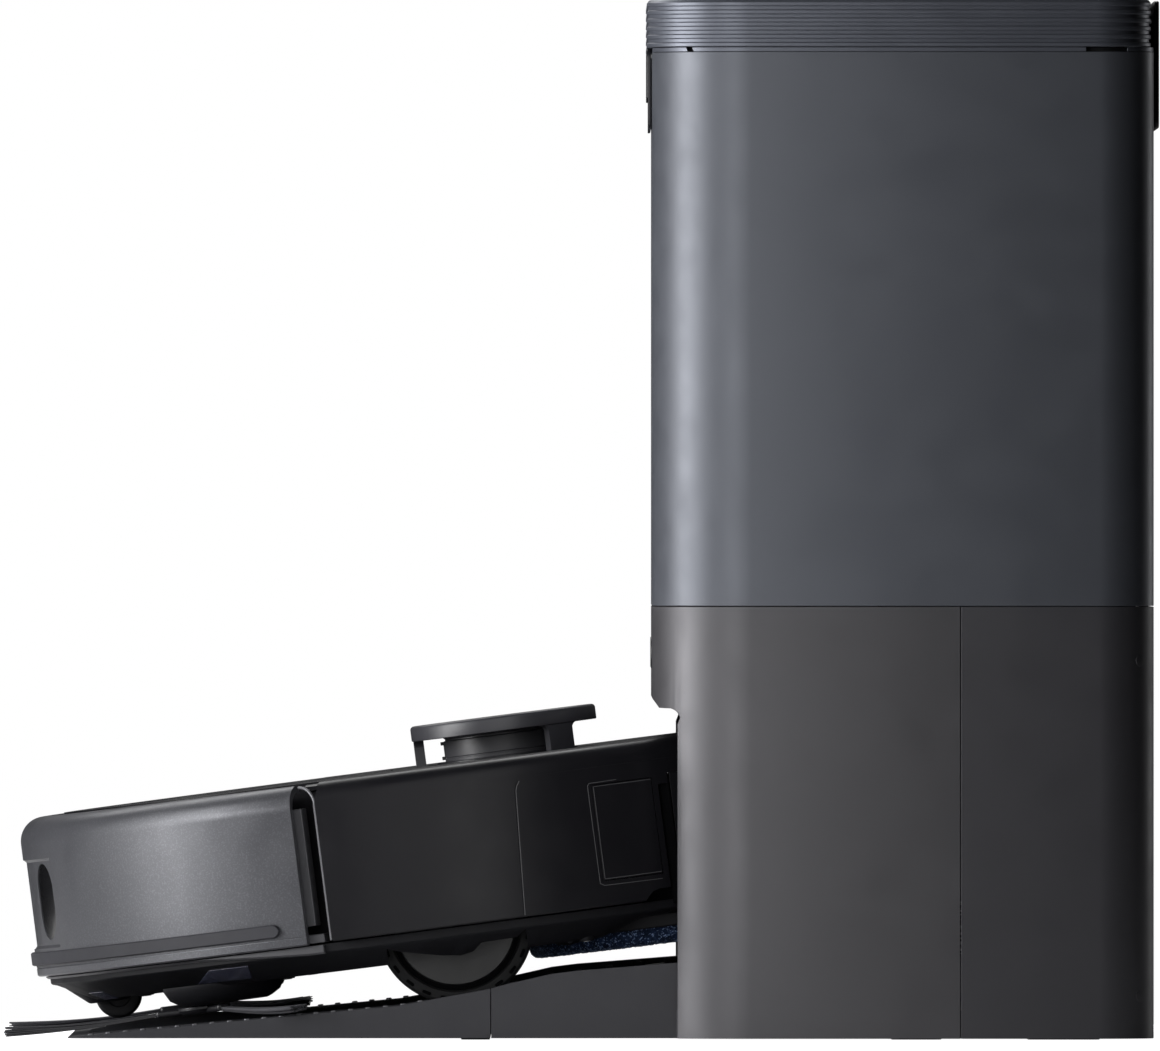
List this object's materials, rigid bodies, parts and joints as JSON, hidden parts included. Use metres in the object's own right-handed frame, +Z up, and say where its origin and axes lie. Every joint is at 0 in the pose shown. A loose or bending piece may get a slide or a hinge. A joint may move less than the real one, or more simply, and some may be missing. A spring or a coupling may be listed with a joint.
{
  "type": "robot vacuum with docking station",
  "caption": "Round robot vacuum parked on the ramp of its tall station, which empties its dust, washes its mops and charges it.",
  "frame": {"origin": "centre of the footprint, on the surface that the station's rubber feet stand on", "axes": "+Z up, +X towards the station's rear face, the robot drives out towards -X, +Y is the robot's left as seen in the picture's far side"},
  "size_m": [0.4682, 0.3528, 0.4198],
  "materials": {
    "upper_shell": "satin metallic blue-grey paint",
    "lower_shell": "satin warm grey moulding",
    "lower_rear": "satin dark grey moulding",
    "lid": "ribbed satin moulding",
    "ramp": "fine textured moulding",
    "inner_dark": "dark textured moulding",
    "clean_tank": "smoky clear moulding",
    "dirty_tank": "dark clear moulding",
    "dust_bag": "non-woven filter cloth",
    "robot_cover": "satin black moulding",
    "bumper": "fine grained satin grey",
    "chassis": "matt black moulding",
    "dark_trim": "satin black moulding",
    "lens": "gloss black infrared window",
    "tyre": "treaded rubber",
    "rubber": "matt soft rubber",
    "bristle": "nylon bristles",
    "mop": "navy microfibre plush with lighter flecks",
    "dust_bin": "clear grey moulding",
    "battery": "shrink-wrapped pack",
    "circuit_board": "solder-masked board",
    "contact": "plated spring contact",
    "steel": "drawn pin"
  },
  "bodies": {
    "station": {"ramp_plate": "ramp", "dock_base": "ramp", "wash_tray": "inner_dark", "foot_front": "rubber", "foot_middle": "rubber", "foot_rear": "rubber", "lower_shell": "lower_shell", "rear_lower_cover": "lower_rear", "upper_shell": "upper_shell", "bay_liner": "inner_dark", "dust_duct": "inner_dark", "lid_hinge_cover": "dark_trim", "lid_hinge_pin": "steel", "clean_tank": "clean_tank", "dirty_tank": "dirty_tank", "dust_bag": "dust_bag", "suction_motor": "dark_trim", "water_pump": "dark_trim", "drying_blower": "dark_trim", "station_board": "circuit_board", "power_inlet": "dark_trim"},
    "station_lid": {"station_lid": "lid", "lid_front_tab": "dark_trim"},
    "bag_door": {"dust_bag_door": "upper_shell"},
    "start_button": {"station_button": "dark_trim"},
    "charge_contact_left": {"contact_left": "contact"},
    "charge_contact_right": {"contact_right": "contact"},
    "robot": {"chassis": "chassis", "top_cover": "robot_cover", "water_tank": "robot_cover", "dust_bin": "dust_bin", "battery": "battery", "main_board": "circuit_board", "fan_motor": "dark_trim"},
    "bumper": {"bumper": "bumper", "bumper_strip": "rubber", "window_left": "lens", "window_right": "lens"},
    "mop_lift": {"mop_carriage": "dark_trim"},
    "mop_left": {"mop_plate_left": "dark_trim", "mop_pad_left": "mop"},
    "mop_right": {"mop_plate_right": "dark_trim", "mop_pad_right": "mop"},
    "suspension_left": {"wheel_arm_left": "dark_trim"},
    "suspension_right": {"wheel_arm_right": "dark_trim"},
    "wheel_left": {"wheel_left": "tyre"},
    "wheel_right": {"wheel_right": "tyre"},
    "caster_fork": {"caster_fork": "chassis"},
    "caster_wheel": {"caster_wheel": "tyre"},
    "side_brush_left": {"side_brush_left": "bristle"},
    "side_brush_right": {"side_brush_right": "bristle"},
    "main_brush": {"main_brush": "rubber"},
    "lidar_guard": {"lidar_guard": "dark_trim"},
    "lidar_drum": {"lidar_drum": "lens"},
    "robot_lid": {"robot_lid": "robot_cover"},
    "side_flap": {"side_flap": "robot_cover"},
    "power_button": {"power_button": "dark_trim"},
    "home_button": {"home_button": "dark_trim"}
  },
  "joints": [
    {"name": "robot_undock", "type": "hinge", "parent": "station", "child": "robot", "pos_m": [-0.40366, 0, 4.49315], "axis": [0, 1, 0], "range_deg": [0, 4.5]},
    {"name": "station_lid_hinge", "type": "hinge", "parent": "station", "child": "station_lid", "pos_m": [0.225, 0, 0.414], "axis": [0, 1, 0], "range_deg": [0, 75]},
    {"name": "bag_door_hinge", "type": "hinge", "parent": "station", "child": "bag_door", "pos_m": [0.0291, 0.1183, 0.274], "axis": [0, 0, -1], "range_deg": [0, 100]},
    {"name": "start_button_press", "type": "slide", "parent": "station", "child": "start_button", "axis": [1, 0, 0], "range_m": [0, 0.001], "stiffness_N_per_m": 500, "springref_m": -0.001},
    {"name": "contact_left_press", "type": "slide", "parent": "station", "child": "charge_contact_left", "axis": [1, 0, 0], "range_m": [0, 0.0025], "stiffness_N_per_m": 300, "springref_m": -0.002},
    {"name": "contact_right_press", "type": "slide", "parent": "station", "child": "charge_contact_right", "axis": [1, 0, 0], "range_m": [0, 0.0025], "stiffness_N_per_m": 300, "springref_m": -0.002},
    {"name": "bumper_press", "type": "slide", "parent": "robot", "child": "bumper", "axis": [0.9919, 0, 0.1271], "range_m": [0, 0.004], "stiffness_N_per_m": 400, "springref_m": -0.003},
    {"name": "mop_lowering", "type": "slide", "parent": "robot", "child": "mop_lift", "axis": [0.1271, 0, -0.9919], "range_m": [0, 0.006]},
    {"name": "mop_left_spin", "type": "hinge", "parent": "mop_lift", "child": "mop_left", "pos_m": [0.03778, 0.066, 0.05741], "axis": [-0.1271, 0, 0.9919], "continuous": true},
    {"name": "mop_right_spin", "type": "hinge", "parent": "mop_lift", "child": "mop_right", "pos_m": [0.03778, -0.066, 0.05741], "axis": [-0.1271, 0, 0.9919], "continuous": true},
    {"name": "suspension_left", "type": "hinge", "parent": "robot", "child": "suspension_left", "pos_m": [-0.09567, 0.1005, 0.05241], "axis": [0, -1, 0], "range_deg": [0, 14], "stiffness_Nm_per_rad": 1.5, "springref_deg": -17.19},
    {"name": "wheel_left_spin", "type": "hinge", "parent": "suspension_left", "child": "wheel_left", "pos_m": [-0.0505, 0.121, 0.0461], "axis": [0, 1, 0], "continuous": true},
    {"name": "side_brush_left_spin", "type": "hinge", "parent": "robot", "child": "side_brush_left", "pos_m": [-0.15314, 0.092, 0.01309], "axis": [-0.1271, 0, 0.9919], "continuous": true},
    {"name": "suspension_right", "type": "hinge", "parent": "robot", "child": "suspension_right", "pos_m": [-0.09567, -0.1005, 0.05241], "axis": [0, -1, 0], "range_deg": [0, 14], "stiffness_Nm_per_rad": 1.5, "springref_deg": -17.19},
    {"name": "wheel_right_spin", "type": "hinge", "parent": "suspension_right", "child": "wheel_right", "pos_m": [-0.0505, -0.121, 0.0461], "axis": [0, 1, 0], "continuous": true},
    {"name": "side_brush_right_spin", "type": "hinge", "parent": "robot", "child": "side_brush_right", "pos_m": [-0.15314, -0.092, 0.01309], "axis": [-0.1271, 0, 0.9919], "continuous": true},
    {"name": "caster_swivel", "type": "hinge", "parent": "robot", "child": "caster_fork", "pos_m": [-0.19252, 0, 0.02539], "axis": [-0.1271, 0, 0.9919], "continuous": true},
    {"name": "caster_roll", "type": "hinge", "parent": "caster_fork", "child": "caster_wheel", "pos_m": [-0.18767, 0, 0.01663], "axis": [0, 1, 0], "continuous": true},
    {"name": "main_brush_spin", "type": "hinge", "parent": "robot", "child": "main_brush", "pos_m": [-0.09887, 0, 0.04595], "axis": [0, 1, 0], "continuous": true},
    {"name": "lidar_guard_press", "type": "slide", "parent": "robot", "child": "lidar_guard", "axis": [0.1271, 0, -0.9919], "range_m": [0, 0.0015], "stiffness_N_per_m": 400, "springref_m": -0.002},
    {"name": "lidar_drum_spin", "type": "hinge", "parent": "robot", "child": "lidar_drum", "pos_m": [-0.0296, 0, 0.11431], "axis": [-0.1271, 0, 0.9919], "continuous": true},
    {"name": "robot_lid_hinge", "type": "hinge", "parent": "robot", "child": "robot_lid", "pos_m": [-0.07625, 0, 0.10783], "axis": [0, 1, 0], "range_deg": [0, 75]},
    {"name": "side_flap_hinge", "type": "hinge", "parent": "robot", "child": "side_flap", "pos_m": [0.00724, -0.15989, 0.08344], "axis": [0.1271, 0, -0.9919], "range_deg": [0, 80]},
    {"name": "power_button_press", "type": "slide", "parent": "robot", "child": "power_button", "axis": [0.1271, 0, -0.9919], "range_m": [0, 0.0008], "stiffness_N_per_m": 400, "springref_m": -0.0005},
    {"name": "home_button_press", "type": "slide", "parent": "robot", "child": "home_button", "axis": [0.1271, 0, -0.9919], "range_m": [0, 0.0008], "stiffness_N_per_m": 400, "springref_m": -0.0005}
  ],
  "couplings": [
    {"joint": "mop_right_spin", "follows": "mop_left_spin", "ratio": -1}
  ]
}
